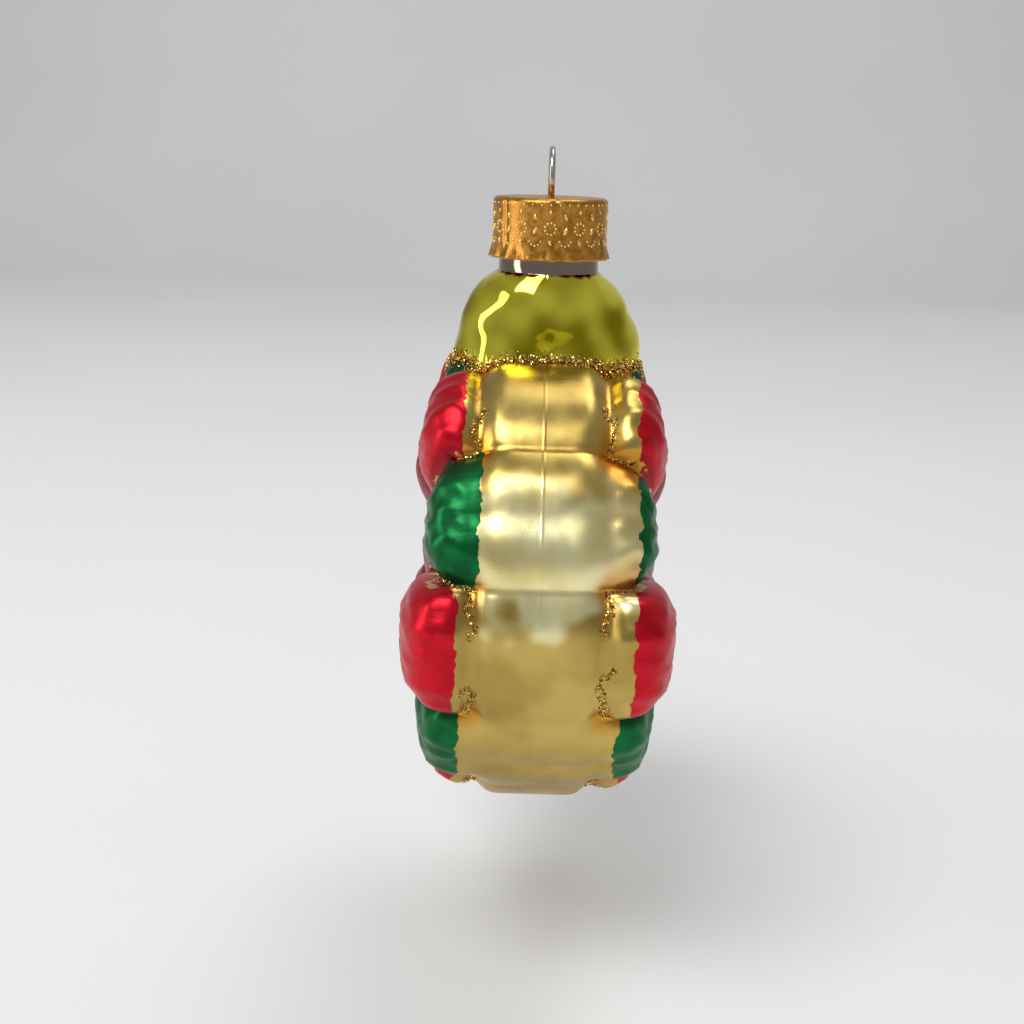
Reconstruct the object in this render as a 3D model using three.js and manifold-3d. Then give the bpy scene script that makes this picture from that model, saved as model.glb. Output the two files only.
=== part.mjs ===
// Glass poinsettia ornament: a hollow mould-blown glass flower, a crimped metal cap, a spring-wire hanger
// and lines of glitter laid in the valleys of the glass. Millimetres, +Z up, flower face towards -Y.
// The origin is the point at the inside top of the wire eye, where a hook carries the ornament.
import * as THREE from 'three';
import { mergeVertices } from 'three/addons/utils/BufferGeometryUtils.js';
import Module from 'manifold-3d';

const wasm = await Module();
wasm.setup();

// Wire hanger
const wireDiameter = 0.8;
const eyeInnerRadius = 3.1;
const wireHoleOffset = 2.7; // from the cap's axis to each wire hole
const legLength = 20; // below the cap's top
const legClearance = 0.3; // between a leg and the neck's bore
const legSpreadDrop = 5; // height over which the legs spread from the holes to the bore
const wireStraight = 1.6; // straight run of each wire below the cap's top

// Cap
const capRadius = 7.6;
const capHeight = 7.7;
const capSheet = 0.4;
const capEdgeRadius = 0.7;
const capDrop = 5.65; // from the hook point down to the cap's top
const wireHoleClearance = 0.25;
const fluteCount = 16;
const fluteDepth = 0.55;
const fluteHeight = 2.2;

// Neck and shoulder of the glass
const glassWall = 1;
const neckRadius = 6.6;
const neckSeatGap = 0.3; // between the glass rim and the underside of the cap's top
const neckLength = 8.7;
const shoulderHeight = 9;
const shoulderHalfWidth = 9; // along X
const shoulderHalfDepth = 12.4; // along Y
const shoulderRound = 0.4; // share of the flare that comes at once below the neck, the rest widens evenly
const seamDip = 0.8; // crease where the two mould halves met
const shoulderRoot = 5; // how far the shoulder reaches down into the flower
const rootTaper = 3; // how much smaller its end in there is
const flareLimit = 1.15; // share of the shoulder's height at which it stops widening

// Flower
const flowerRadius = 32;
const flowerHalfDepth = 16;
const flowerSink = 0.3; // how far the flower's top lies above the shoulder's foot
const rimSquareness = 7.5; // exponent of the superellipse that the flower's section follows
const sideFullness = 0.6; // how much thicker each face is at the flower's sides
const endThinness = 1.6; // how much that falls towards the shoulder and the foot
const petalCrown = 1.2;
const leafCrown = -1.5;
const footPetalDrop = 2.6; // how far the lowest petals lie back under the leaves
const footLeafRise = 2.2;
const headPetalDrop = 0.8; // the same at the shoulder
const headLeafRise = 0.7;
const faceValley = 3.2;
const faceValleySharpness = 4;
const sideValley = 1.1;
const sideValleySharpness = 2.6;
const sideValleyFade = 0.8; // share of the side valleys lost at the foot
const valleyStart = [0.15, 0.4]; // radial shares over which the valleys deepen
const centreDish = 3;
const dishEnd = [0.35, 0.75]; // radial shares over which the dish ends
const petalCrowding = 0.175; // radians that the petals shift down towards the flower's foot
const petalSwell = 0.09; // share of the pitch that a red petal takes from its two leaves at mid-length
const paintLine = 8; // distance from the mould seam to the groove behind the petals
const paintGroove = 1.3;
const leafGroove = 0.4;
const paintGrooveWidth = 1.4;
const leafCrease = 0.45;
const leafCreaseWidth = 0.3; // share of the leaf's half-width

// Inner bracts and flower centre
const bractReach = 20;
const bractNotch = 0.4; // share of the reach lost between two bracts
const bractRise = 1.4;
const bractLayers = 1.6; // how far three of the bracts stand over that, and the other three under it
const bractValley = 2.2;
const bractDroop = 1.8; // how far the edge of a bract bends down to the petals
const centreRadius = 5.4;
const centreDip = 3;
const berryRing = 3.5;
const berryWidth = 1.3;
const berryRise = 1.6;

// Glitter lines
const glitterGap = 0.3; // between a glue bead and the glass
const shoulderLineRadius = 0.8;
const strokeRadius = 0.55;
const strokeReach = 6; // distance from the mould seam to the strokes' ends on the sides
const lineLift = 0.3; // of the shoulder line's middle over the crease that it fills
const lineDrop = 5; // furthest that the line sags below the shoulder's foot into a valley

// Facets
const columnsPerLobe = 6;
const shoulderSides = 36;
const wireSides = 8;
const strokeSides = 6;

// Rings of the flower's skin over each zone, from the face's centre to the mould seam
const centreRings = 3;
const bractRings = 3;
const petalRings = 4;
const sideRings = 7;
const lineSteps = 40;
const strokeSteps = 6;

const lobeCount = 12;
const lobePitch = (2 * Math.PI) / lobeCount;
const columns = lobeCount * columnsPerLobe;
const bractsEnd = centreRings + bractRings;
const faceEnd = bractsEnd + petalRings;
const seamRing = faceEnd + sideRings;
const corner = 0.5 ** (1 / rimSquareness); // radial and axial share where the face turns into the side
const wireRadius = wireDiameter / 2;
const capTop = -capDrop;
const neckTop = capTop - capSheet - neckSeatGap;
const neckFoot = neckTop - neckLength;
const shoulderFoot = neckFoot - shoulderHeight;
const flowerCentre = shoulderFoot + flowerSink - flowerRadius;

const mix = (a, b, t) => a + (b - a) * t;
const clamp = (v) => Math.min(1, Math.max(0, v));

function smooth(from, to, v) {
  const t = clamp((v - from) / (to - from));
  return t * t * (3 - 2 * t);
}

// A closed solid from a stack of rings, each with the same number of points, closed by a point at each end.
function ringSolid(rings, firstPole, lastPole) {
  const count = rings[0].length;
  const points = [firstPole, ...rings.flat(), lastPole];
  const last = points.length - 1;
  const index = [];
  const at = (ring, k) => 1 + ring * count + (k % count);
  for (let k = 0; k < count; k++) {
    index.push(0, at(0, k + 1), at(0, k));
    index.push(last, at(rings.length - 1, k), at(rings.length - 1, k + 1));
    for (let ring = 0; ring + 1 < rings.length; ring++) {
      const [a, b] = [at(ring, k), at(ring, k + 1)];
      const [c, d] = [at(ring + 1, k), at(ring + 1, k + 1)];
      index.push(a, b, c, b, d, c);
    }
  }
  const geometry = new THREE.BufferGeometry().setFromPoints(points);
  geometry.setIndex(index);
  return geometry;
}

function solidOf(geometry) {
  const bare = geometry.clone();
  bare.deleteAttribute('normal');
  bare.deleteAttribute('uv');
  const merged = mergeVertices(bare, 1e-4);
  return new wasm.Manifold(new wasm.Mesh({
    numProp: 3,
    vertProperties: new Float32Array(merged.attributes.position.array),
    triVerts: new Uint32Array(merged.index.array),
  }));
}

function geometryOf(solid) {
  const mesh = solid.getMesh();
  const geometry = new THREE.BufferGeometry();
  geometry.setAttribute('position', new THREE.BufferAttribute(mesh.vertProperties, 3));
  geometry.setIndex(new THREE.BufferAttribute(mesh.triVerts, 1));
  geometry.computeVertexNormals();
  return geometry;
}

// How far a column lies from the middle of its inner bract: 0 at the tip and 1 between two bracts.
function fromBractTip(column) {
  const bracts = column / (2 * columnsPerLobe);
  return Math.abs(bracts - Math.round(bracts)) * 2;
}

const bractReachAt = (fromTip) => (bractReach / flowerRadius) * (1 - bractNotch * fromTip ** 1.4);

// Radial and axial share of a ring of the flower: ring 0 is the face's centre and seamRing the mould seam.
// One ring follows the outline of the inner bracts.
function sectionAt(ring, fromTip) {
  if (ring > faceEnd) {
    const axial = (corner * (seamRing - ring)) / sideRings;
    return [(1 - axial ** rimSquareness) ** (1 / rimSquareness), axial];
  }
  const centre = centreRadius / flowerRadius;
  const reach = bractReachAt(fromTip);
  let radial = mix(reach, corner, (ring - bractsEnd) / petalRings);
  if (ring < centreRings) radial = (centre * ring) / centreRings;
  else if (ring < bractsEnd) radial = mix(centre, reach, (ring - centreRings) / bractRings);
  return [radial, (1 - radial ** rimSquareness) ** (1 / rimSquareness)];
}

// Half-width of a red petal as a share of the pitch: half at the rim, more at mid-length.
const petalShare = (radial) => 0.5 + petalSwell * Math.sin(Math.PI * clamp((0.95 - radial) / 0.75));

// The faces are fullest at the flower's sides and thinner towards the shoulder and the foot.
const fullness = (angle) => sideFullness - endThinness * Math.cos(angle) ** 2;

// Height of an outer petal or leaf over the plain flower; across runs from -1 to 1 over its width.
function outerRelief(isPetal, across, radial, axial, angle) {
  const onFace = smooth(0.25, 0.85, axial);
  const atFoot = (1 - Math.cos(angle)) / 2;
  const side = sideValley * (1 - sideValleyFade * atFoot ** 1.5);
  const depth = mix(side, faceValley, onFace) * smooth(...valleyStart, radial);
  const valley = depth * Math.abs(across) ** mix(sideValleySharpness, faceValleySharpness, onFace);
  const atHead = (1 - atFoot) ** 6;
  const petalLevel = petalCrown - footPetalDrop * atFoot ** 4 - headPetalDrop * atHead;
  const leafLevel = leafCrown + footLeafRise * atFoot ** 2 + headLeafRise * atHead;
  const crown = ((isPetal ? petalLevel : leafLevel) + fullness(angle)) * onFace;
  const fromLine = (axial * flowerHalfDepth - paintLine) / paintGrooveWidth;
  const groove = (isPetal ? paintGroove : leafGroove) * Math.exp(-fromLine * fromLine);
  const crease = isPetal ? 0 : leafCrease * Math.exp(-((across / leafCreaseWidth) ** 2)) * (1 - onFace);
  const dish = centreDish * (1 - smooth(...dishEnd, radial));
  return crown - valley - groove - crease - dish;
}

// Height of the inner bracts, which rise from the dished centre and droop at their tips.
function innerRelief(angle, fromTip, radial) {
  const level = bractRise + bractLayers * Math.cos(3 * angle);
  const rise = mix(-centreDip, level, smooth(0.05, 0.45, radial));
  const valley = bractValley * fromTip ** 2 * smooth(0.05, 0.3, radial);
  const droop = bractDroop * (radial / bractReachAt(fromTip)) ** 3;
  return rise + fullness(angle) * smooth(0.1, 0.5, radial) - valley - droop;
}

// Height of the berries in the flower's centre, one in the middle and six round it.
function berryRelief(angle, radius) {
  const fromRing = (radius - berryRing) / berryWidth;
  const ofRing = (0.5 + 0.5 * Math.cos(6 * angle)) * Math.exp(-fromRing * fromRing);
  return berryRise * (ofRing + Math.exp(-((radius / berryWidth) ** 2)));
}

// A point of the flower's skin: columns count round the Y axis from the top, rings from the face's centre to
// the mould seam, side is -1 on the front and 1 on the back, and inset moves the skin inwards. The inside
// lies smooth behind the berries.
function flowerPoint(column, ring, side, inset) {
  const fromTip = fromBractTip(column);
  const [radial, axial] = sectionAt(ring, fromTip);
  const pairs = column / (2 * columnsPerLobe);
  const isPetal = fromTip > 0.5;
  const lobe = isPetal ? 2 * Math.floor(pairs) + 1 : 2 * Math.round(pairs);
  const across = (column - lobe * columnsPerLobe) / (columnsPerLobe / 2);
  const share = isPetal ? petalShare(radial) : 1 - petalShare(radial);
  const even = (lobe + across * share) * lobePitch;
  const angle = even + (petalCrowding * Math.sin(even) * (1 - Math.cos(even))) / 2;
  const outer = outerRelief(isPetal, across, radial, axial, even);
  const berries = inset > 0 ? 0 : berryRelief(even, radial * flowerRadius);
  const inner = innerRelief(even, fromTip, radial) + berries;
  const height = (ring > bractsEnd ? outer : Math.max(outer, inner)) - inset;

  const outward = radial ** (rimSquareness - 1) / flowerRadius;
  const facing = axial ** (rimSquareness - 1) / flowerHalfDepth;
  const length = Math.hypot(outward, facing);
  const r = radial * flowerRadius + (height * outward) / length;
  const y = side * (axial * flowerHalfDepth + (height * facing) / length);
  return new THREE.Vector3(r * Math.sin(angle), y, flowerCentre + r * Math.cos(angle));
}

function flowerSolid(inset, columnStep) {
  const ringOf = (ring, side) => {
    const points = [];
    for (let column = 0; column < columns; column += columnStep) {
      points.push(flowerPoint(column, ring, side, inset));
    }
    return points;
  };
  const rings = [];
  for (let ring = 1; ring <= seamRing; ring++) rings.push(ringOf(ring, -1));
  for (let ring = seamRing - 1; ring > 0; ring--) rings.push(ringOf(ring, 1));
  return solidOf(ringSolid(rings, flowerPoint(0, 0, -1, inset), flowerPoint(0, 0, 1, inset)));
}

function shoulderFlare(z) {
  const down = Math.min(flareLimit, Math.max(0, (neckFoot - z) / shoulderHeight));
  return shoulderRound * (1 - (1 - clamp(2 * down)) ** 2.4) + (1 - shoulderRound) * down;
}

// Neck and shoulder: round at the rim, then flaring more towards front and back than to the sides.
function shoulderRing(z, inset) {
  const flare = shoulderFlare(z);
  const halfWidth = mix(neckRadius, shoulderHalfWidth, flare) - inset;
  const halfDepth = mix(neckRadius, shoulderHalfDepth, flare) - inset;
  const ring = [];
  for (let k = 0; k < shoulderSides; k++) {
    const turn = (2 * Math.PI * k) / shoulderSides;
    const dip = 1 - (seamDip / shoulderHalfWidth) * clamp(flare) * Math.exp(-((Math.sin(turn) / 0.22) ** 2));
    ring.push(new THREE.Vector3(halfWidth * dip * Math.cos(turn), halfDepth * Math.sin(turn), z));
  }
  return ring;
}

function shoulderSolid(inset, top, steps) {
  const foot = shoulderFoot - shoulderRoot;
  const heights = [foot];
  for (let k = steps; k >= 0; k--) heights.push(neckFoot - shoulderHeight * (k / steps) ** 1.3);
  heights.push(top);
  const rings = heights.map((z) => shoulderRing(z, z === foot ? inset + rootTaper : inset));
  return solidOf(ringSolid(rings, new THREE.Vector3(0, 0, foot), new THREE.Vector3(0, 0, top)));
}

function glassSkin(outset) {
  return flowerSolid(-outset, 1).add(shoulderSolid(-outset, neckTop, 7));
}

function glassBody() {
  const hollow = flowerSolid(glassWall, columnsPerLobe / 2);
  return geometryOf(glassSkin(0).subtract(hollow.add(shoulderSolid(glassWall, neckTop + 1, 3))));
}

// Drawn cup with a rounded top edge, two wire holes and a fluted skirt.
function ornamentCap() {
  const outline = new THREE.Path();
  const foot = capTop - capHeight;
  outline.moveTo(0, capTop);
  outline.lineTo(capRadius - capEdgeRadius, capTop);
  outline.absarc(capRadius - capEdgeRadius, capTop - capEdgeRadius, capEdgeRadius, Math.PI / 2, 0, true);
  outline.lineTo(capRadius, foot + fluteHeight);
  outline.lineTo(capRadius, foot + fluteHeight / 2);
  outline.lineTo(capRadius, foot);
  outline.lineTo(capRadius - capSheet, foot);
  outline.lineTo(capRadius - capSheet, foot + fluteHeight / 2);
  outline.lineTo(capRadius - capSheet, foot + fluteHeight);
  outline.lineTo(capRadius - capSheet, capTop - capSheet);
  outline.lineTo(0, capTop - capSheet);
  const cup = new THREE.LatheGeometry(outline.getPoints(3).reverse(), fluteCount * 4).rotateX(Math.PI / 2);
  const position = cup.attributes.position;
  for (let k = 0; k < position.count; k++) {
    const [x, y, z] = [position.getX(k), position.getY(k), position.getZ(k)];
    const radius = Math.hypot(x, y);
    if (radius < 1e-6) continue;
    const low = clamp((foot + fluteHeight - z) / fluteHeight);
    const grown = radius + fluteDepth * low ** 1.5 * (0.5 + 0.5 * Math.cos(fluteCount * Math.atan2(y, x)));
    position.setXYZ(k, (x * grown) / radius, (y * grown) / radius, z);
  }
  let cap = solidOf(cup);
  for (const side of [-1, 1]) {
    const holeRadius = wireRadius + wireHoleClearance;
    const hole = new THREE.CylinderGeometry(holeRadius, holeRadius, 3, 12);
    cap = cap.subtract(solidOf(hole.rotateX(Math.PI / 2).translate(side * wireHoleOffset, 0, capTop)));
  }
  return geometryOf(cap);
}

// One side of the wire, from the tip of its leg up through the cap to the top of the eye.
function wireSide(side) {
  const legX = neckRadius - glassWall - legClearance - wireRadius;
  const straight = capTop - wireStraight;
  const points = [];
  for (let z = capTop - legLength; z < straight - legSpreadDrop; z += 3) points.push([legX, z]);
  for (let k = 0; k <= 4; k++) {
    points.push([mix(legX, wireHoleOffset, smooth(0, 1, k / 4)), straight - legSpreadDrop * (1 - k / 4)]);
  }
  const eyeRadius = eyeInnerRadius + wireRadius;
  const foot = Math.PI - Math.asin(wireHoleOffset / eyeRadius);
  points.push([wireHoleOffset, capTop]);
  for (let k = 0; k < 8; k++) {
    const turn = foot * (1 - k / 8);
    points.push([eyeRadius * Math.sin(turn), eyeRadius * Math.cos(turn) - eyeInnerRadius]);
  }
  return points.map(([x, z]) => new THREE.Vector3(side * x, 0, z));
}

function wireHanger() {
  const top = new THREE.Vector3(0, 0, wireRadius);
  const route = new THREE.CatmullRomCurve3([...wireSide(-1), top, ...wireSide(1).reverse()]);
  const section = new THREE.Shape().absarc(0, 0, wireRadius, 0, 2 * Math.PI);
  return new THREE.ExtrudeGeometry(section, { steps: 52, curveSegments: wireSides / 2, extrudePath: route });
}

// A bead of glue along a route, cut so that it lies on the glass with the glitter gap.
function glitterStroke(route, steps, skin) {
  const section = new THREE.Shape().absarc(0, 0, strokeRadius, 0, 2 * Math.PI);
  const sweep = { steps, curveSegments: strokeSides / 2, extrudePath: route };
  return geometryOf(solidOf(new THREE.ExtrudeGeometry(section, sweep)).subtract(skin));
}

// The stroke in the valley on the far side of a lobe, from the face over the rim to the side of the flower.
function valleyRoute(lobe, side, lastRing) {
  const points = [];
  for (let ring = bractsEnd + 1; ring <= lastRing; ring++) {
    points.push(flowerPoint((lobe + 0.5) * columnsPerLobe, ring, side, -glitterGap - strokeRadius * 0.5));
  }
  return new THREE.CatmullRomCurve3(points);
}

// The line round the foot of the shoulder, in the crease where the shoulder meets the flower.
function shoulderLine(skin) {
  const flower = new THREE.Mesh(geometryOf(flowerSolid(0, 1)));
  const probe = new THREE.Raycaster();
  const down = new THREE.Vector3(0, 0, -1);
  const foot = shoulderFlare(-Infinity);
  const rings = [];
  const spot = (k) => {
    const turn = (2 * Math.PI * k) / lineSteps;
    const x = (mix(neckRadius, shoulderHalfWidth, foot) + glitterGap) * Math.cos(turn);
    const y = (mix(neckRadius, shoulderHalfDepth, foot) + glitterGap) * Math.sin(turn);
    probe.set(new THREE.Vector3(x, y, neckTop), down);
    const crease = probe.intersectObject(flower)[0].point.z;
    return new THREE.Vector3(x, y, Math.max(crease, shoulderFoot - lineDrop) + lineLift);
  };
  for (let k = 0; k < lineSteps; k++) {
    const centre = spot(k);
    const along = spot(k + 1).sub(spot(k - 1)).normalize();
    const out = new THREE.Vector3(centre.x, centre.y, 0).normalize();
    const up = new THREE.Vector3().crossVectors(out, along).normalize();
    out.crossVectors(along, up);
    const ring = [];
    for (let side = 0; side < strokeSides; side++) {
      const turn = (2 * Math.PI * side) / strokeSides;
      ring.push(centre.clone().addScaledVector(out, shoulderLineRadius * Math.cos(turn))
        .addScaledVector(up, shoulderLineRadius * Math.sin(turn)));
    }
    rings.push(ring);
  }
  const index = [];
  const at = (k, side) => (k % lineSteps) * strokeSides + (side % strokeSides);
  for (let k = 0; k < lineSteps; k++) {
    for (let side = 0; side < strokeSides; side++) {
      const [a, b, c, d] = [at(k, side), at(k, side + 1), at(k + 1, side), at(k + 1, side + 1)];
      index.push(a, c, b, b, c, d);
    }
  }
  const geometry = new THREE.BufferGeometry().setFromPoints(rings.flat());
  geometry.setIndex(index);
  return geometryOf(solidOf(geometry).subtract(skin));
}

const glassMaterial = new THREE.MeshStandardMaterial({ color: 0xcfc06a, roughness: 0.3, metalness: 0.6 });
const capMaterial = new THREE.MeshStandardMaterial({ color: 0xc98f3c, roughness: 0.35, metalness: 1 });
const wireMaterial = new THREE.MeshStandardMaterial({ color: 0xb9b3a2, roughness: 0.3, metalness: 1 });
const glitterMaterial = new THREE.MeshStandardMaterial({ color: 0xd9b765, roughness: 0.4, metalness: 0.8 });

const ornament = new THREE.Group();

function addPart(name, geometry, material) {
  const mesh = new THREE.Mesh(geometry, material);
  mesh.name = name;
  ornament.add(mesh);
}

addPart('glass_body', glassBody(), glassMaterial);
addPart('ornament_cap', ornamentCap(), capMaterial);
addPart('wire_hanger', wireHanger(), wireMaterial);

const seat = glassSkin(glitterGap);
const strokeLastRing = seamRing - Math.round((sideRings * strokeReach) / (corner * flowerHalfDepth));
addPart('glitter_shoulder_line', shoulderLine(seat), glitterMaterial);
for (const [face, side] of [['front', -1], ['back', 1]]) {
  for (let lobe = 0; lobe < lobeCount; lobe++) {
    const byShoulder = lobe === 0 || lobe === lobeCount - 1;
    const route = valleyRoute(lobe, side, byShoulder ? faceEnd - 1 : strokeLastRing);
    addPart(`glitter_${face}_${lobe + 1}`, glitterStroke(route, strokeSteps, seat), glitterMaterial);
  }
}

export default ornament;
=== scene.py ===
import math
import random

import bmesh
import bpy
from mathutils import Euler, Matrix, Vector, noise
from mathutils.bvhtree import BVHTree


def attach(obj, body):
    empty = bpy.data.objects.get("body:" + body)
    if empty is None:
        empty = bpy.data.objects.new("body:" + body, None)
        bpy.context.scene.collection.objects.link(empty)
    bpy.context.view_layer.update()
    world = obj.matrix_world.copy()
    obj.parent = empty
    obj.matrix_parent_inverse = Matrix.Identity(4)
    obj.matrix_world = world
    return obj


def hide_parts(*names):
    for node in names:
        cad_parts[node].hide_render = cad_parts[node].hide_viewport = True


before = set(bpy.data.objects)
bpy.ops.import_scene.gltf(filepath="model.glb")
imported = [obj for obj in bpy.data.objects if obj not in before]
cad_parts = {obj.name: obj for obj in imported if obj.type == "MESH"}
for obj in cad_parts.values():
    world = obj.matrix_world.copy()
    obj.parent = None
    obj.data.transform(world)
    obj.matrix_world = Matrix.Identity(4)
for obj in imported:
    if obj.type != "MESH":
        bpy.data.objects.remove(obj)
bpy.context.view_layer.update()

# Studio: the ornament hangs over a pale floor that sweeps up into its backdrop. The camera stands
# level with the top of the wire eye, at the right of the flower, and looks down 16 degrees.
mm = 0.001
lens_for_the_photograph = 46.16
camera_place = Vector((176, -2.3, 0.8)) * mm
camera_turn = (74.353, -1.694, 90.967)
floor_height = -113 * mm
sweep_width = 3.0
sweep_reach = 0.9
sweep_bend = 0.35
backdrop_height = 1.2
studio_grey = (0.62, 0.62, 0.62, 1)
studio_strength = 0.55

camera = bpy.data.objects.new("camera", bpy.data.cameras.new("camera"))
camera.data.lens = lens_for_the_photograph
camera.data.sensor_width = 36
camera.data.clip_start = 10 * mm
camera.location = camera_place
camera.rotation_euler = [math.radians(turn) for turn in camera_turn]
bpy.context.scene.collection.objects.link(camera)
bpy.context.scene.camera = camera
bpy.context.scene.view_settings.view_transform = "Standard"


def softbox(name, place, aim, size, watts):
    lamp = bpy.data.objects.new(name, bpy.data.lights.new(name, "AREA"))
    lamp.data.shape = "RECTANGLE"
    lamp.data.size, lamp.data.size_y = size
    lamp.data.energy = watts
    lamp.location = place
    lamp.rotation_euler = (Vector(aim) - Vector(place)).to_track_quat("-Z", "Y").to_euler()
    bpy.context.scene.collection.objects.link(lamp)


flower_middle = (0, 0, -50 * mm)
softbox("key_softbox", (0.45, -0.30, 0.75), flower_middle, (0.55, 0.40), 5.0)
softbox("front_softbox", (0.20, -0.95, 0.10), flower_middle, (0.30, 0.80), 2.8)
softbox("top_softbox", (-0.35, 0.25, 0.95), flower_middle, (0.50, 0.50), 2.8)

world = bpy.data.worlds.new("studio")
world.use_nodes = True
world.node_tree.nodes["Background"].inputs["Color"].default_value = studio_grey
world.node_tree.nodes["Background"].inputs["Strength"].default_value = studio_strength
bpy.context.scene.world = world


def node(tree, kind, inputs=None, **settings):
    made = tree.nodes.new("ShaderNode" + kind)
    for name, value in settings.items():
        setattr(made, name, value)
    for slot, value in (inputs or {}).items():
        if isinstance(value, bpy.types.NodeSocket):
            tree.links.new(value, made.inputs[slot])
        else:
            made.inputs[slot].default_value = value
    return made


def colour(red, green, blue):
    """A colour given as the screen shows it, from 0 to 255, as the shader wants it."""
    shares = [c / 255 for c in (red, green, blue)]
    return [share / 12.92 if share <= 0.04 else ((share + 0.055) / 1.055) ** 2.4 for share in shares] + [1]


def blend(tree, share, first, second):
    mixed = node(tree, "Mix", {"Factor": share}, data_type="RGBA")
    for slot, value in ((6, first), (7, second)):
        if isinstance(value, bpy.types.NodeSocket):
            tree.links.new(value, mixed.inputs[slot])
        else:
            mixed.inputs[slot].default_value = value
    return mixed.outputs[2]


def ramp(tree, value, low, high, bottom=0.0, top=1.0):
    """Carries a value from low to high over to bottom to top, with soft ends."""
    inputs = {"Value": value, "From Min": low, "From Max": high, "To Min": bottom, "To Max": top}
    return node(tree, "MapRange", inputs, interpolation_type="SMOOTHSTEP").outputs["Result"]


def grain(tree, size, detail=3.0, stretch=(1, 1, 1)):
    """Noise with features of about the given size, drawn on the object's own coordinates."""
    place = node(tree, "TexCoord").outputs["Object"]
    place = node(tree, "Mapping", {"Vector": place, "Scale": stretch}).outputs["Vector"]
    return node(tree, "TexNoise", {"Vector": place, "Scale": 1 / size, "Detail": detail}).outputs["Fac"]


def finish_of(name):
    material = bpy.data.materials.new(name)
    material.use_nodes = True
    return material, material.node_tree, material.node_tree.nodes["Principled BSDF"]


def feed(tree, shader, **sockets):
    for name, value in sockets.items():
        slot = shader.inputs[name.replace("_", " ")]
        if isinstance(value, bpy.types.NodeSocket):
            tree.links.new(value, slot)
        else:
            slot.default_value = value


def bump(tree, height, depth):
    return node(tree, "Bump", {"Height": height, "Distance": depth, "Strength": 1.0}).outputs["Normal"]


def piece_of(name, shape, material, smooth=True):
    """Turns a bmesh into a piece of the scene with one material."""
    mesh = bpy.data.meshes.new(name)
    for face in shape.faces:
        face.smooth = smooth
    shape.to_mesh(mesh)
    shape.free()
    mesh.materials.append(material)
    piece = bpy.data.objects.new(name, mesh)
    bpy.context.scene.collection.objects.link(piece)
    return piece


paper, tree, shader = finish_of("pale_paper")
cloud_and_painted_reflection = ramp(tree, grain(tree, 0.25), 0.3, 0.7)
shade = blend(tree, cloud_and_painted_reflection, colour(236, 236, 236), colour(240, 240, 240))
feed(tree, shader, Base_Color=shade, Roughness=0.8)
shader.inputs["Specular IOR Level"].default_value = 0.1
sweep = bmesh.new()
edge = [sweep.verts.new((sweep_reach, side * sweep_width / 2, floor_height)) for side in (-1, 1)]
line = sweep.edges.new(edge)
run = bmesh.ops.extrude_edge_only(sweep, edges=[line])["geom"]
moved = [v for v in run if isinstance(v, bmesh.types.BMVert)]
bmesh.ops.translate(sweep, verts=moved, vec=(-2 * sweep_reach, 0, 0))
rim = [e for e in run if isinstance(e, bmesh.types.BMEdge) and all(v in moved for v in e.verts)]
pivot = (-sweep_reach, 0, floor_height + sweep_bend)
turned_edge = bmesh.ops.spin(
    sweep, geom=moved + rim, cent=pivot, axis=(0, 1, 0), angle=math.pi / 2, steps=24)["geom_last"]
last_edges = [e for e in turned_edge if isinstance(e, bmesh.types.BMEdge)]
rise = bmesh.ops.extrude_edge_only(sweep, edges=last_edges)["geom"]
risen = [v for v in rise if isinstance(v, bmesh.types.BMVert)]
bmesh.ops.translate(sweep, verts=risen, vec=(0, 0, backdrop_height))
bmesh.ops.recalc_face_normals(sweep, faces=sweep.faces)
piece_of("floor_and_backdrop", sweep, paper)


# Hanger: one spring wire, bent into an eye above the cap. Its legs pass through the cap's two holes and
# spread to grip the bore of the neck. Bright steel, with a painted warm reflection of the gilt cap where it
# meets the cap.
wire_radius = 0.4 * mm
eye_radius = 3.5 * mm
eye_middle = -3.1 * mm
hole_offset = 2.7 * mm
cap_top = -5.65 * mm
leg_offset = 4.9 * mm
leg_spread = (-7.25 * mm, -12.25 * mm)
leg_foot = -25.65 * mm
leg_step = 1.5 * mm


def wire_side(side):
    """The wire's middle line on one side, from the tip of its leg to just before the top of the eye."""
    points = [(leg_offset, leg_foot + k * leg_step) for k in range(9)]
    for k in range(7):
        share = k / 6
        bend = share * share * (3 - 2 * share)
        height = leg_spread[1] + (leg_spread[0] - leg_spread[1]) * share
        points.append((leg_offset + (hole_offset - leg_offset) * bend, height))
    points.append((hole_offset, cap_top))
    shoulder_turn = math.pi - math.asin(hole_offset / eye_radius)
    for k in range(14):
        turn = shoulder_turn * (1 - k / 14)
        points.append((eye_radius * math.sin(turn), eye_middle + eye_radius * math.cos(turn)))
    return [Vector((side * across, 0, height)) for across, height in points]


def strand(name, points, radius, sides):
    """A round strand along a smooth line through the points, as a bmesh."""
    curve = bpy.data.curves.new(name, "CURVE")
    curve.dimensions = "3D"
    curve.bevel_depth = radius
    curve.bevel_resolution = sides // 4
    curve.use_fill_caps = True
    line = curve.splines.new("POLY")
    line.points.add(len(points) - 1)
    for spot, point in zip(line.points, points):
        spot.co = (*point, 1)
    carrier = bpy.data.objects.new(name, curve)
    shape = bmesh.new()
    mesh = bpy.data.meshes.new_from_object(carrier)
    shape.from_mesh(mesh)
    bpy.data.objects.remove(carrier)
    bpy.data.curves.remove(curve)
    bpy.data.meshes.remove(mesh)
    bmesh.ops.remove_doubles(shape, verts=shape.verts, dist=0.001 * mm)
    bmesh.ops.recalc_face_normals(shape, faces=shape.faces)
    return shape


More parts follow.
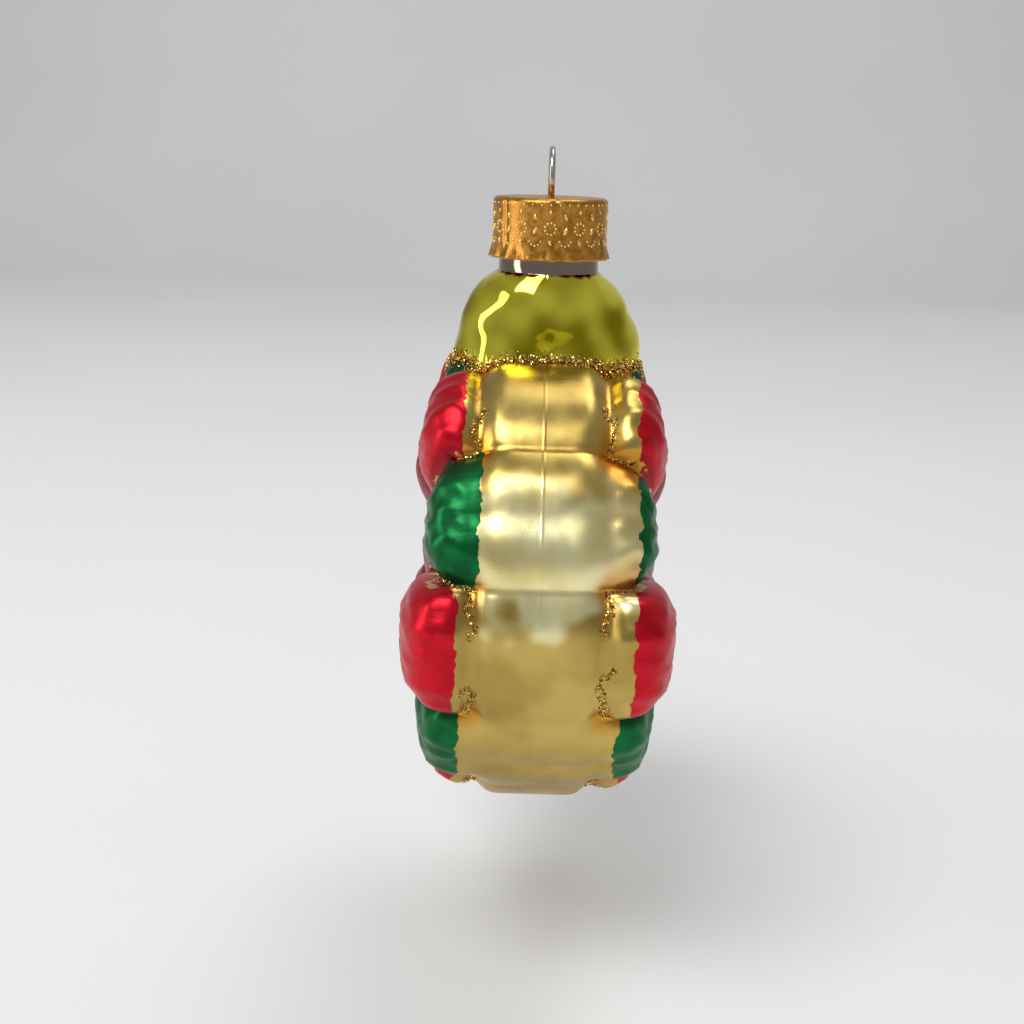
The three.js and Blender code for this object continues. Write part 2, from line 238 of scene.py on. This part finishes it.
steel, tree, shader = finish_of("spring_steel")
place = node(tree, "TexCoord").outputs["Object"]
height_up = node(tree, "SeparateXYZ", {"Vector": place}).outputs["Z"]
# painted reflection: the steel is tinted gold near and under the cap, standing in for the gilt cap's
# reflected light
gilt_reflection_share = ramp(tree, height_up, cap_top + 3.5 * mm, cap_top, 0.0, 0.85)
drawn = grain(tree, 0.3 * mm, stretch=(1, 1, 0.15))
tone = blend(tree, drawn, colour(150, 148, 140), colour(214, 212, 204))
feed(tree, shader, Base_Color=blend(tree, gilt_reflection_share, tone, colour(214, 160, 70)), Metallic=1.0,
     Roughness=ramp(tree, drawn, 0.3, 0.7, 0.16, 0.3), Normal=bump(tree, drawn, 0.02 * mm))
route = wire_side(-1) + [Vector((0, 0, eye_middle + eye_radius))] + wire_side(1)[::-1]
wire = piece_of("bent_wire", strand("bent_wire", route, wire_radius, 16), steel)
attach(wire, "hanger")
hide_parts("wire_hanger")


# Cap: thin sheet metal drawn into a cup, its side embossed with beaded rosettes and leaf grains and its
# skirt crimped into flutes that grip the neck. Antique gilt, darker in its hollows.
cap_radius = 7.6 * mm
cap_foot = -13.35 * mm
cap_sheet = 0.4 * mm
cap_edge = 0.7 * mm
flute_count = 16
flute_depth = 0.5 * mm
flute_height = 2.2 * mm
pleat_turns = (-50, 4, 61, 118, 176, 233)
pleat_depth = 0.22 * mm
pleat_width = math.radians(2.6)
bead_radius = 0.17 * mm
flat_top = 4.5 * mm
side_start = 6 * mm
side_blend = 1.1 * mm
waist_depth = 0.12 * mm
bead_room = 0.05 * mm
hole_radius = 0.65 * mm
rosette_count = 12
rosette_radius = 0.72 * mm
rosette_height = -9.35 * mm
swag_width = 0.8 * mm
swag_drop = 0.9 * mm
swag_height = -10.6 * mm
rim_beads = 40


def turned(profile, steps):
    """Spins a profile of (radius, height) points round Z, into a closed skin if it ends on the axis."""
    shape = bmesh.new()
    line = [shape.verts.new((radius, 0, height)) for radius, height in profile]
    sides = [shape.edges.new(pair) for pair in zip(line, line[1:])]
    bmesh.ops.spin(shape, geom=line + sides, axis=(0, 0, 1), cent=(0, 0, 0), angle=2 * math.pi, steps=steps,
                   use_merge=True)
    bmesh.ops.remove_doubles(shape, verts=shape.verts, dist=0.0005 * mm)
    bmesh.ops.recalc_face_normals(shape, faces=shape.faces)
    return shape


def pleats(turn):
    """How far the cap's side stands in at its vertical folds."""
    share = 0
    for middle in pleat_turns:
        away = (turn - math.radians(middle) + math.pi) % (2 * math.pi) - math.pi
        share += math.exp(-(away / pleat_width) ** 2)
    return pleat_depth * share


def cap_side(turn, height):
    """Radius of the cap's outside at a turn and height, with its pleats and flutes."""
    low = max(0, cap_foot + flute_height - height) / flute_height
    flutes = flute_depth * low ** 1.3 * (0.5 + 0.5 * math.cos(flute_count * turn)) ** 0.7
    waist = waist_depth * math.sin(math.pi * min(1, max(0, (cap_top - height) / (cap_top - cap_foot))))
    return cap_radius + flutes - waist - pleats(turn) * (1 - low) - bead_room


outside = [(0, cap_top), (2 * mm, cap_top), (flat_top, cap_top)]
for k in range(7):
    bend = math.radians(15 * k)
    outside.append((cap_radius - cap_edge + cap_edge * math.sin(bend),
                    cap_top - cap_edge + cap_edge * math.cos(bend)))
outside += [(cap_radius, cap_top - cap_edge - k * 0.42 * mm) for k in range(1, 11)]
outside += [(cap_radius, cap_foot + flute_height * (1 - k / 8)) for k in range(9)]
inside = [(cap_radius - cap_sheet, cap_foot + flute_height * k / 8) for k in range(9)]
inside += [(cap_radius - cap_sheet, cap_top - cap_sheet - 0.4 * mm),
           (cap_radius - cap_sheet, cap_top - cap_sheet)]
inside += [(flat_top, cap_top - cap_sheet), (0, cap_top - cap_sheet)]
cup = turned(outside + inside, 192)
for v in cup.verts:
    radius = math.hypot(v.co.x, v.co.y)
    if radius > side_start:
        turn = math.atan2(v.co.y, v.co.x)
        change = (cap_side(turn, v.co.z) - cap_radius) * min(1, (radius - side_start) / side_blend)
        v.co.x *= (radius + change) / radius
        v.co.y *= (radius + change) / radius

gilt, tree, shader = finish_of("antique_gilt")
raised = node(tree, "Attribute", attribute_name="raised").outputs["Fac"]
worn = grain(tree, 0.9 * mm, 5)
tone = blend(tree, ramp(tree, worn, 0.35, 0.65), colour(178, 122, 48), colour(206, 150, 68))
tone = blend(tree, ramp(tree, raised, 0.1, 0.6), tone, colour(250, 214, 130))
feed(tree, shader, Base_Color=tone, Metallic=1.0, Roughness=ramp(tree, worn, 0.3, 0.7, 0.26, 0.4),
     Normal=bump(tree, grain(tree, 0.35 * mm, 4), 0.05 * mm))
cap = piece_of("crimped_cap", cup, gilt)
for side in (-1, 1):
    punch = bmesh.new()
    place = Matrix.Translation((side * hole_offset, 0, cap_top))
    bmesh.ops.create_cone(punch, cap_ends=True, segments=32, radius1=hole_radius, radius2=hole_radius,
                          depth=3 * mm, matrix=place)
    punch = piece_of("punch", punch, gilt)
    cut = cap.modifiers.new("hole", "BOOLEAN")
    cut.operation, cut.solver, cut.object = "DIFFERENCE", "MANIFOLD", punch
    cap.data = bpy.data.meshes.new_from_object(cap.evaluated_get(bpy.context.evaluated_depsgraph_get()))
    cap.modifiers.clear()
    bpy.data.objects.remove(punch)

studs = bmesh.new()
raised_share = studs.verts.layers.float.new("raised")


def boss(turn, height, size, tilt=0.0, length=1.0):
    """A raised bead, or a longer grain, pressed out of the cap's side."""
    radius = cap_side(turn, height)
    place = (Matrix.Rotation(turn, 4, "Z") @ Matrix.Translation((radius, 0, height))
             @ Matrix.Rotation(tilt, 4, "X") @ Matrix.Diagonal((0.8, 1, length, 1)))
    made = bmesh.ops.create_uvsphere(studs, u_segments=8, v_segments=4, radius=size, matrix=place)
    for v in made["verts"]:
        v[raised_share] = 1


for k in range(rosette_count):
    middle = 2 * math.pi * k / rosette_count
    for petal in range(9):
        turn = 2 * math.pi * petal / 9
        boss(middle + rosette_radius / cap_radius * math.cos(turn),
             rosette_height + rosette_radius * math.sin(turn), bead_radius)
        if petal < 5:
            arc = math.radians(200 + 35 * petal)
            boss(middle + math.pi / rosette_count + swag_width / cap_radius * math.cos(arc),
                 swag_height + swag_drop * math.sin(arc), bead_radius * 0.9)
    between = middle + math.pi / rosette_count
    boss(between, -7.9 * mm, 0.22 * mm, math.radians(20), 2.0)
    boss(between, -9.6 * mm, 0.24 * mm, math.radians(-25), 2.4)
    boss(middle, -7.3 * mm, 0.2 * mm, math.radians(-15), 1.4)
    boss(middle, -11.1 * mm, 0.22 * mm, math.radians(15), 1.8)
for k in range(rim_beads):
    boss(2 * math.pi * k / rim_beads, cap_top - 0.75 * mm, 0.15 * mm)
for face in studs.faces:
    face.smooth = True
studs.from_mesh(cap.data)
studs.to_mesh(cap.data)
studs.free()
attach(cap, "cap")
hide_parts("ornament_cap")


# Glass: one thin silvered blowing, shaped in a two-part mould into a poinsettia with the same relief on
# its front and back. Satin champagne gold round the sides, red petals, green leaves, lemon gold shoulder.
glass_wall = 1 * mm
flower_wall = 1.5 * mm
neck_radius = 6.55 * mm
neck_top = -6.35 * mm
neck_foot = -15.05 * mm
shoulder_height = 9 * mm
shoulder_foot = -24.05 * mm
shoulder_half = (8.95 * mm, 12.35 * mm)
seam_dip = 0.8 * mm
flower_radius = 31.85 * mm
flower_half_depth = 15.8 * mm
flower_height = -55.75 * mm
squareness = 7.5
corner = 0.5 ** (1 / squareness)
lobe_count = 12
lobe_pitch = 2 * math.pi / lobe_count
petal_crowding = 0.175
bract_reach = 20 * mm / flower_radius
centre_reach = 5.4 * mm / flower_radius
berry_ring = 3.5 * mm
berry_radius = 1.75 * mm
red_paint_edge = {-1: (9.7 * mm, 10.5 * mm), 1: (11.6 * mm, 11.6 * mm)}
green_paint_edge = {-1: (7.4 * mm, 9.6 * mm), 1: (11.6 * mm, 10 * mm)}
centre_end, bracts_end, face_end, seam_ring = 3, 6, 10, 17
noise.seed_set(12)

# Relief of petals, leaves and bracts, in millimetres
petal_crown, leaf_crown = 1.2, -1.5
foot_petal_drop, foot_leaf_rise = 2.6, 2.2
head_petal_drop, head_leaf_rise = 0.8, 0.7
face_valley, side_valley = 3.2, 1.1
face_sharpness, side_sharpness = 4, 2.6
paint_line, groove_width = 8, 1.4
petal_groove, leaf_groove = 1.3, 0.4
leaf_crease = 0.45
centre_dish = 3
midrib_depth, vein_depth, vein_pitch = 0.22, 0.11, 2.1
fold_depth, folds_across = 0.3, 2.4
bract_notch = 0.4
bract_rise, bract_layers = 1.4, 1.6
bract_valley, bract_droop = 2.2, 1.8


def mix(first, second, share):
    return first + (second - first) * share


def smooth(low, high, value):
    share = min(1, max(0, (value - low) / (high - low)))
    return share * share * (3 - 2 * share)


def bract_outline(from_tip):
    return bract_reach * (1 - bract_notch * from_tip ** 1.4)


def section(ring, from_tip):
    """Radial and axial share of a ring, from 0 at the face's centre to the mould seam."""
    if ring > face_end:
        axial = corner * (seam_ring - ring) / (seam_ring - face_end)
        return (1 - axial ** squareness) ** (1 / squareness), axial
    reach = bract_outline(from_tip)
    if ring < centre_end:
        radial = centre_reach * ring / centre_end
    elif ring < bracts_end:
        radial = mix(centre_reach, reach, (ring - centre_end) / (bracts_end - centre_end))
    else:
        radial = mix(reach, corner, (ring - bracts_end) / (face_end - bracts_end))
    return radial, (1 - radial ** squareness) ** (1 / squareness)


def petal_share(radial):
    return 0.5 + 0.09 * math.sin(math.pi * min(1, max(0, (0.95 - radial) / 0.75)))


def taper(angle):
    """The faces are fullest at the sides and thinner towards the shoulder and the foot."""
    return 0.6 - 1.6 * math.cos(angle) ** 2


def outer_relief(is_petal, across, radial, axial, angle):
    """Height of an outer petal or leaf over the plain flower, across from -1 to 1 over its width."""
    on_face = smooth(0.25, 0.85, axial)
    foot = (1 - math.cos(angle)) / 2
    deepest = mix(side_valley * (1 - 0.8 * foot ** 1.5), face_valley, on_face)
    sharpness = mix(side_sharpness, face_sharpness, on_face)
    valley = deepest * smooth(0.15, 0.4, radial) * abs(across) ** sharpness
    head = (1 - foot) ** 6
    if is_petal:
        level = petal_crown - foot_petal_drop * foot ** 4 - head_petal_drop * head
    else:
        level = leaf_crown + foot_leaf_rise * foot ** 2 + head_leaf_rise * head
    crown = (level + taper(angle)) * on_face
    from_line = (axial * flower_half_depth / mm - paint_line) / groove_width
    groove = (petal_groove if is_petal else leaf_groove) * math.exp(-from_line ** 2)
    crease = 0 if is_petal else leaf_crease * math.exp(-(across / 0.3) ** 2) * (1 - on_face)
    dish = centre_dish * (1 - smooth(0.35, 0.75, radial))
    return (crown - valley - groove - crease - dish) * mm


def petal_veins(across, along):
    """Midrib and slanting side veins pressed into a petal, a leaf or a bract."""
    midrib = midrib_depth * math.exp(-(across / 0.07) ** 2)
    slant = along / mm / vein_pitch - abs(across) * 1.6
    fade = smooth(0.08, 0.3, abs(across)) * (1 - smooth(0.75, 1, abs(across)))
    return -(midrib + vein_depth * fade * (0.5 + 0.5 * math.cos(2 * math.pi * slant))) * mm


def petal_folds(across, along):
    """Wavy folds that run out over a petal's rim and scallop it."""
    wave = across * folds_across + 0.16 * math.sin(along / mm / 1.7) + 0.07 * math.sin(along / mm / 0.7)
    fade = 1 - smooth(0.7, 1, abs(across))
    return -fold_depth * (0.5 - 0.5 * math.cos(2 * math.pi * wave)) * fade * mm


def inner_relief(angle, from_tip, radial):
    """Height of the inner bracts: three over three, rising from the dished centre, with drooping tips."""
    top = bract_rise + bract_layers * math.cos(3 * angle)
    rise = mix(-centre_dish, top, smooth(0.05, 0.45, radial)) + taper(angle) * smooth(0.1, 0.5, radial)
    valley = bract_valley * from_tip ** 2 * smooth(0.05, 0.3, radial)
    droop = bract_droop * (radial / bract_outline(from_tip)) ** 3
    return (rise - valley - droop) * mm


def berry_relief(angle, radius):
    """Height of the round berries at the flower's centre, one in the middle and six round it."""
    spot = Vector((radius * math.sin(angle), radius * math.cos(angle)))
    nearest = radius
    for k in range(6):
        turn = math.pi * k / 3
        berry = Vector((berry_ring * math.sin(turn), berry_ring * math.cos(turn)))
        nearest = min(nearest, (spot - berry).length)
    return math.sqrt(max(0, berry_radius ** 2 - nearest ** 2))


def flower_spot(lobes, ring, side, inset, detail=1.0):
    """A point of the flower's skin and what is painted there. lobes counts lobes clockwise from the top."""
    turn = lobes / 2
    from_tip = abs(turn - round(turn)) * 2
    radial, axial = section(ring, from_tip)
    lobe = round(lobes)
    is_petal = lobe % 2 == 1
    across = (lobes - lobe) * 2
    share = petal_share(radial) if is_petal else 1 - petal_share(radial)
    even = (lobe + across * share) * lobe_pitch
    angle = even + petal_crowding * math.sin(even) * (1 - math.cos(even)) / 2
    radius = radial * flower_radius

    outer = outer_relief(is_petal, across, radial, axial, even)
    on_face = smooth(0.3, 0.7, axial)
    outer += detail * on_face * smooth(0.3, 0.5, radial) * petal_veins(across, radius)
    over_rim = radius + (1 - axial) * flower_half_depth
    outer += detail * smooth(0.5, 0.75, axial) * smooth(0.5, 0.8, radial) * petal_folds(across, over_rim)
    inner = -1.0  # metres: far below any outer petal
    berry = 0.0
    if ring <= bracts_end:
        inner = inner_relief(even, from_tip, radial)
        inner += detail * smooth(0.17, 0.28, radial) * petal_veins(min(1, from_tip * 1.1), radius)
        berry = detail * berry_relief(even, radius)
    on_bract = inner > outer
    height = (inner + berry if on_bract else outer) - inset

    outward = radial ** (squareness - 1) / flower_radius
    facing = axial ** (squareness - 1) / flower_half_depth
    length = math.hypot(outward, facing)
    r = radius + height * outward / length
    y = side * (axial * flower_half_depth + height * facing / length)
    place = Vector((r * math.sin(angle), y, flower_height + r * math.cos(angle)))

    to_valley = (1 - abs(across)) * share * lobe_pitch * radius
    bract_depth = (bract_outline(from_tip) - radial) * flower_radius if on_bract else -2 * mm
    low = smooth(math.radians(75), math.radians(115), abs(math.remainder(even, math.tau)))
    past_red = abs(y) - mix(*red_paint_edge[side], low)
    past_green = abs(y) - mix(*green_paint_edge[side], low)
    petal_red = min(past_red, to_valley if is_petal else -to_valley)
    leaf_green = min(past_green, -to_valley if is_petal else to_valley, -bract_depth)
    # the valley mask grows with depth below the petal tops; the shader darkens the paint there as painted
    # shade
    paint = {"red": max(petal_red, bract_depth), "green": leaf_green, "berry": berry / berry_radius,
             "valley_pool_and_shade": smooth(0.3 * mm, 2.6 * mm, -outer), "collar": 0.0, "formed": 1.0}
    return place, paint


paint_names = ("red", "green", "berry", "valley_pool_and_shade", "collar", "formed")


def facing_out(shape):
    """The deep valleys mislead the usual test of normals, so the skin's own volume tells its side."""
    if shape.calc_volume(signed=True) < 0:
        bmesh.ops.reverse_faces(shape, faces=shape.faces)
    return shape


def flower_skin(rows, lobe_steps, inset, detail):
    """The whole flower as one closed skin, from a ball whose poles are the middles of the two faces."""
    count = 2 * (len(rows) - 1)
    around = lobe_steps * lobe_count
    arc = [(math.sin(math.pi * k / count), math.cos(math.pi * k / count)) for k in range(count + 1)]
    shape = turned(arc, around)
    layers = {name: shape.verts.layers.float.new(name) for name in paint_names}
    for v in shape.verts:
        row = round(math.acos(max(-1, min(1, v.co.z))) / math.pi * count)
        step = round(math.atan2(v.co.y, v.co.x) / math.tau * around) % around
        side = -1 if row < len(rows) else 1
        ring = rows[row] if row < len(rows) else rows[count - row]
        v.co, paint = flower_spot(step / lobe_steps, ring, side, inset, detail)
        if detail:
            v.co += noise.noise_vector(v.co / (7 * mm)) * 0.1 * mm
        for name, layer in layers.items():
            v[layer] = paint[name]
    return facing_out(shape)


def shoulder_skin(inset, top, steps, sides):
    """Neck and shoulder, round at the rim and wider towards the flower's faces than to its sides."""
    foot = shoulder_foot - 5 * mm
    heights = [foot] + [neck_foot - shoulder_height * (k / steps) ** 1.3 for k in range(steps, -1, -1)]
    heights += [mix(neck_foot, top, k / 6) for k in range(1, 7)]
    shape = turned([(0, foot)] + [(1, height) for height in heights] + [(0, top)], sides)
    layers = {name: shape.verts.layers.float.new(name) for name in paint_names}
    for v in shape.verts:
        down = min(1.15, max(0, (neck_foot - v.co.z) / shoulder_height))
        flare = 0.4 * (1 - (1 - min(1, 2 * down)) ** 2.4) + 0.6 * down
        crease = 0.6 * math.exp(-abs(v.co.y) / 0.09) + 0.4 * math.exp(-(v.co.y / 0.4) ** 2)
        dip = 1 - 1.25 * seam_dip / shoulder_half[0] * min(1, flare) * crease
        v.co.x *= (mix(neck_radius, shoulder_half[0], flare) - inset) * dip
        v.co.y *= mix(neck_radius, shoulder_half[1], flare) - inset
        v.co += noise.noise_vector(v.co / (5 * mm)) * min(1, flare) * 0.75 * mm
        v.co += noise.noise_vector(v.co / (2.2 * mm)) * min(1, flare) * 0.13 * mm
        v[layers["red"]] = v[layers["green"]] = -5 * mm
        v[layers["collar"]] = v[layers["formed"]] = 1
    return facing_out(shape)


def combined(body, shape, operation):
    """Joins a closed skin to the body or cuts it out, and keeps the body's paint."""
    tool = piece_of("tool", shape, body.data.materials[0])
    change = body.modifiers.new("change", "BOOLEAN")
    change.operation, change.solver, change.object = operation, "MANIFOLD", tool
    body.data = bpy.data.meshes.new_from_object(body.evaluated_get(bpy.context.evaluated_depsgraph_get()))
    body.modifiers.clear()
    bpy.data.objects.remove(tool)


lacquer, tree, shader = finish_of("painted_silvered_glass")


def painted(name):
    return node(tree, "Attribute", attribute_name=name).outputs["Fac"]


def brush_edge(distance, wander):
    moved = node(tree, "Math", {0: distance, 1: wander}, operation="ADD").outputs["Value"]
    return ramp(tree, moved, -0.06 * mm, 0.06 * mm)


wander = ramp(tree, grain(tree, 2.4 * mm, 3), 0.25, 0.75, -0.5 * mm, 0.5 * mm)
mottle = grain(tree, 9 * mm, 2)
soft = grain(tree, 3 * mm, 1)
strokes = grain(tree, 0.8 * mm, 4, (1, 0.35, 0.35))
valley_pool_and_shade = painted("valley_pool_and_shade")
spot = node(tree, "SeparateXYZ", {"Vector": node(tree, "TexCoord").outputs["Object"]}).outputs
depth, height = spot["Y"], spot["Z"]
# painted light: the gold sides are pale champagne in a band across the flower's middle, a painted
# highlight, and darker olive gold above and below it, painted shade, with blotchy band edges
patches = ramp(tree, mottle, 0.3, 0.7, -3 * mm, 3 * mm)
uneven = node(tree, "Math", {0: height, 1: patches}, operation="ADD").outputs[0]
under_top = ramp(tree, uneven, -40 * mm, -36 * mm, 1, 0)
over_foot = ramp(tree, uneven, -54 * mm, -51 * mm)
painted_highlight_band = node(tree, "Math", {0: under_top, 1: over_foot}, operation="MULTIPLY").outputs[0]
shaded_gold = blend(tree, ramp(tree, mottle, 0.35, 0.65), colour(178, 150, 78), colour(202, 176, 98))
highlit_gold = blend(tree, ramp(tree, mottle, 0.35, 0.65), colour(236, 220, 148), colour(252, 244, 190))
champagne_with_painted_light = blend(tree, painted_highlight_band, shaded_gold, highlit_gold)
# painted shade in the valleys: the gold turns darker amber, partly lacquer pooled there and partly painted
# shade, and the red and green go deep and dark
champagne_with_painted_light = blend(tree, ramp(tree, valley_pool_and_shade, 0.0, 0.9, 0.0, 0.85), champagne_with_painted_light, colour(200, 132, 30))
red = blend(tree, ramp(tree, strokes, 0.25, 0.75), colour(184, 6, 26), colour(210, 14, 38))
red = blend(tree, ramp(tree, valley_pool_and_shade, 0.2, 1.0, 0.0, 0.7), red, colour(100, 2, 14))
green = blend(tree, ramp(tree, strokes, 0.25, 0.75), colour(0, 84, 40), colour(0, 112, 54))
green = blend(tree, ramp(tree, valley_pool_and_shade, 0.3, 1.0, 0.0, 0.6), green, colour(0, 46, 24))
# painted reflection: the glossy lemon shoulder is blotched between dark olive and bright lemon, standing in
# for the mirror reflections on its lumpy glass
cloud_and_painted_reflection = ramp(tree, grain(tree, 7 * mm, 1), 0.35, 0.65)
lemon_with_painted_reflections = blend(tree, cloud_and_painted_reflection, colour(160, 146, 14), colour(255, 246, 84))
red_share = brush_edge(painted("red"), wander)
green_share = brush_edge(painted("green"), wander)
collar = ramp(tree, painted("collar"), 0.3, 0.7)
berries = ramp(tree, painted("berry"), 0.05, 0.25)
paint_share = node(tree, "Math", {0: red_share, 1: green_share}, operation="MAXIMUM").outputs["Value"]
bare = ramp(tree, height, neck_foot - 0.5 * mm, neck_foot)
seam = ramp(tree, node(tree, "Math", {0: depth}, operation="ABSOLUTE").outputs[0], 0.3 * mm, 0, 0, 0.35)

base = blend(tree, red_share, champagne_with_painted_light, red)
base = blend(tree, green_share, base, green)
base = blend(tree, berries, base, colour(238, 196, 50))
base = blend(tree, collar, base, lemon_with_painted_reflections)
base = blend(tree, bare, base, colour(150, 138, 122))
glossy = node(tree, "Math", {0: collar, 1: berries}, operation="MAXIMUM").outputs["Value"]
satin = ramp(tree, soft, 0.3, 0.7, 0.26, 0.34)
matte = node(tree, "Mix", {0: paint_share, 2: satin, 3: 0.34}).outputs[0]
polish = node(tree, "Mix", {0: glossy, 2: matte, 3: 0.08}).outputs[0]
metal = node(tree, "Mix", {0: paint_share, 2: 1.0, 3: 0.75}).outputs[0]
relief = node(tree, "Mix", {0: paint_share, 2: soft, 3: strokes}).outputs[0]
relief = node(tree, "Mix", {0: glossy, 2: relief, 3: 0.5}).outputs[0]
relief = node(tree, "Math", {0: relief, 1: seam}, operation="ADD").outputs[0]
feed(tree, shader, Base_Color=base, Metallic=metal, Roughness=polish, Normal=bump(tree, relief, 0.05 * mm))

zones = ((0, centre_end, 14), (centre_end, bracts_end, 30),
         (bracts_end, face_end, 16), (face_end, seam_ring, 26))
skin_rows = [mix(first, last, k / steps) for first, last, steps in zones for k in range(steps)]
skin_rows.append(seam_ring)
glass = piece_of("blown_glass", flower_skin(skin_rows, 30, 0, 1.0), lacquer)
combined(glass, shoulder_skin(0, neck_top, 30, 144), "UNION")

# The joint between shoulder and flower, which the mould rounds off
rounding = bmesh.new()
rounding.from_mesh(glass.data)
formed = rounding.verts.layers.float["formed"]
joint = [v for v in rounding.verts if v[formed] == 0]
shoulder_line = [v.co.copy() for v in joint]
for name in paint_names:
    layer = rounding.verts.layers.float[name]
    for v in joint:
        known = [e.other_vert(v)[layer] for e in v.link_edges if e.other_vert(v)[formed]]
        v[layer] = sum(known) / len(known) if known else 0.5
near = set(joint)
for _ in range(4):
    near |= {e.other_vert(v) for v in near for e in v.link_edges}
for _ in range(6):
    bmesh.ops.smooth_vert(rounding, verts=list(near), factor=0.5,
                          use_axis_x=True, use_axis_y=True, use_axis_z=True)
rounding.to_mesh(glass.data)
rounding.free()

skin_tree = BVHTree.FromObject(glass, bpy.context.evaluated_depsgraph_get())
combined(glass, flower_skin(list(range(seam_ring + 1)), 2, flower_wall, 0.0), "DIFFERENCE")
combined(glass, shoulder_skin(glass_wall, neck_top + 1 * mm, 4, 36), "DIFFERENCE")
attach(glass, "glass")
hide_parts("glass_body")


# Glitter: clear glue run along the valleys by hand and strewn with coarse champagne-gold grains. One line
# goes round the foot of the shoulder, one lies in each valley, and short tails curl behind the petals.
glue_radius = 0.4 * mm
grain_size = (0.12 * mm, 0.21 * mm)
ring_steps = 72
ring_width, ring_grains = 1.3 * mm, 38
valley_steps = 10
valley_width, valley_grains = 0.8 * mm, 18
tail_steps = 16
tail_width, tail_grains = 0.7 * mm, 13
groove_ring = 13

glitter, tree, shader = finish_of("gold_glitter")
tone = node(tree, "Attribute", attribute_name="tone").outputs["Fac"]
shade = blend(tree, ramp(tree, tone, -1.0, 1.0), colour(126, 66, 8), colour(255, 228, 136))
feed(tree, shader, Base_Color=shade, Metallic=1.0,
     Roughness=ramp(tree, grain(tree, 0.2 * mm), 0.3, 0.7, 0.12, 0.25))


def on_glass(point):
    place, normal, _, _ = skin_tree.find_nearest(point)
    return place, normal


def add_shape(shape, part):
    mesh = bpy.data.meshes.new("part")
    part.to_mesh(mesh)
    part.free()
    shape.from_mesh(mesh)
    bpy.data.meshes.remove(mesh)


def grains_between(first, second, width, per_mm):
    """Loose grains heaped over one short stretch of glue."""
    part = bmesh.new()
    tone = part.verts.layers.float.new("tone")
    along = second - first
    wanted = along.length / mm * per_mm
    for _ in range(int(wanted) + (random.random() < wanted % 1)):
        spread = random.gauss(0, 0.45)
        place, normal = on_glass(first + along * random.random())
        place, normal = on_glass(place + along.cross(normal).normalized() * spread * width)
        heap = max(0.0, 1 - (spread / 1.1) ** 2) * min(glue_radius, width * 0.2)
        size = random.uniform(*grain_size)
        turn = Euler([random.uniform(0, math.tau) for _ in range(3)]).to_matrix().to_4x4()
        middle = place + normal * (heap + size * random.uniform(0, 0.6))
        skin, normal = on_glass(middle)
        sunk = 0.3 * size - (middle - skin).dot(normal)
        spot = Matrix.Translation(middle + normal * max(0, sunk))
        made = bmesh.ops.create_uvsphere(part, u_segments=4, v_segments=2, radius=size,
                                         matrix=spot @ turn @ Matrix.Diagonal((1, 0.9, 0.45, 1)))
        bright = random.uniform(-0.8, 1)
        for v in made["verts"]:
            v[tone] = bright
    return part


def glitter_line(name, routes, replaced):
    """A bead of glue along each route, strewn with grains: (points, width, grains a millimetre)."""
    shape = bmesh.new()
    for points, width, per_mm in routes:
        spots = [on_glass(point)[0] for point in points]
        add_shape(shape, strand(name, spots, min(glue_radius, width * 0.12), 8))
        for first, second in zip(spots, spots[1:]):
            add_shape(shape, grains_between(first, second, width, per_mm))
    piece = piece_of(name, shape, glitter, smooth=False)
    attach(piece, "glass")
    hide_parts(replaced)


ring_points = []
for k in range(ring_steps):
    turn = k * math.tau / ring_steps
    toward = Vector((math.cos(turn), math.sin(turn)))
    ring_points.append(max(shoulder_line, key=lambda point: toward.dot(point.xy.normalized())))
ring_points.append(ring_points[0])
random.seed(12)
ring_route = (ring_points, ring_width, ring_grains)
glitter_line("glitter_round_the_shoulder", [ring_route], "glitter_shoulder_line")


def valley_points(lobe, first_ring, last_ring, side):
    rings = [mix(first_ring, last_ring, k / valley_steps) for k in range(valley_steps + 1)]
    return [flower_spot(lobe + 0.5, ring, side, 0)[0] for ring in rings]


def tail_points(lobe, side, reach):
    """Along the groove behind a petal, from its valley towards its middle."""
    points = []
    for k in range(tail_steps + 1):
        sway = 0.5 * math.sin(2.4 * k / tail_steps * math.pi + lobe) * k / tail_steps
        points.append(flower_spot(lobe + 0.5 + reach * k / tail_steps, groove_ring + sway, side, 0)[0])
    return points


for face, side in (("front", -1), ("back", 1)):
    for lobe in range(lobe_count):
        random.seed(100 * side + lobe)
        by_shoulder = lobe in (0, lobe_count - 1)
        last_ring = face_end if by_shoulder else groove_ring
        routes = [(valley_points(lobe, bracts_end + 0.6, last_ring, side), valley_width, valley_grains)]
        if not by_shoulder:
            reach = (0.5 if lobe % 2 == 0 else -0.5) * random.uniform(0.5, 1)
            routes.append((tail_points(lobe, side, reach), tail_width, tail_grains))
        glitter_line(f"glitter_{face}_valley_{lobe + 1}", routes, f"glitter_{face}_{lobe + 1}")
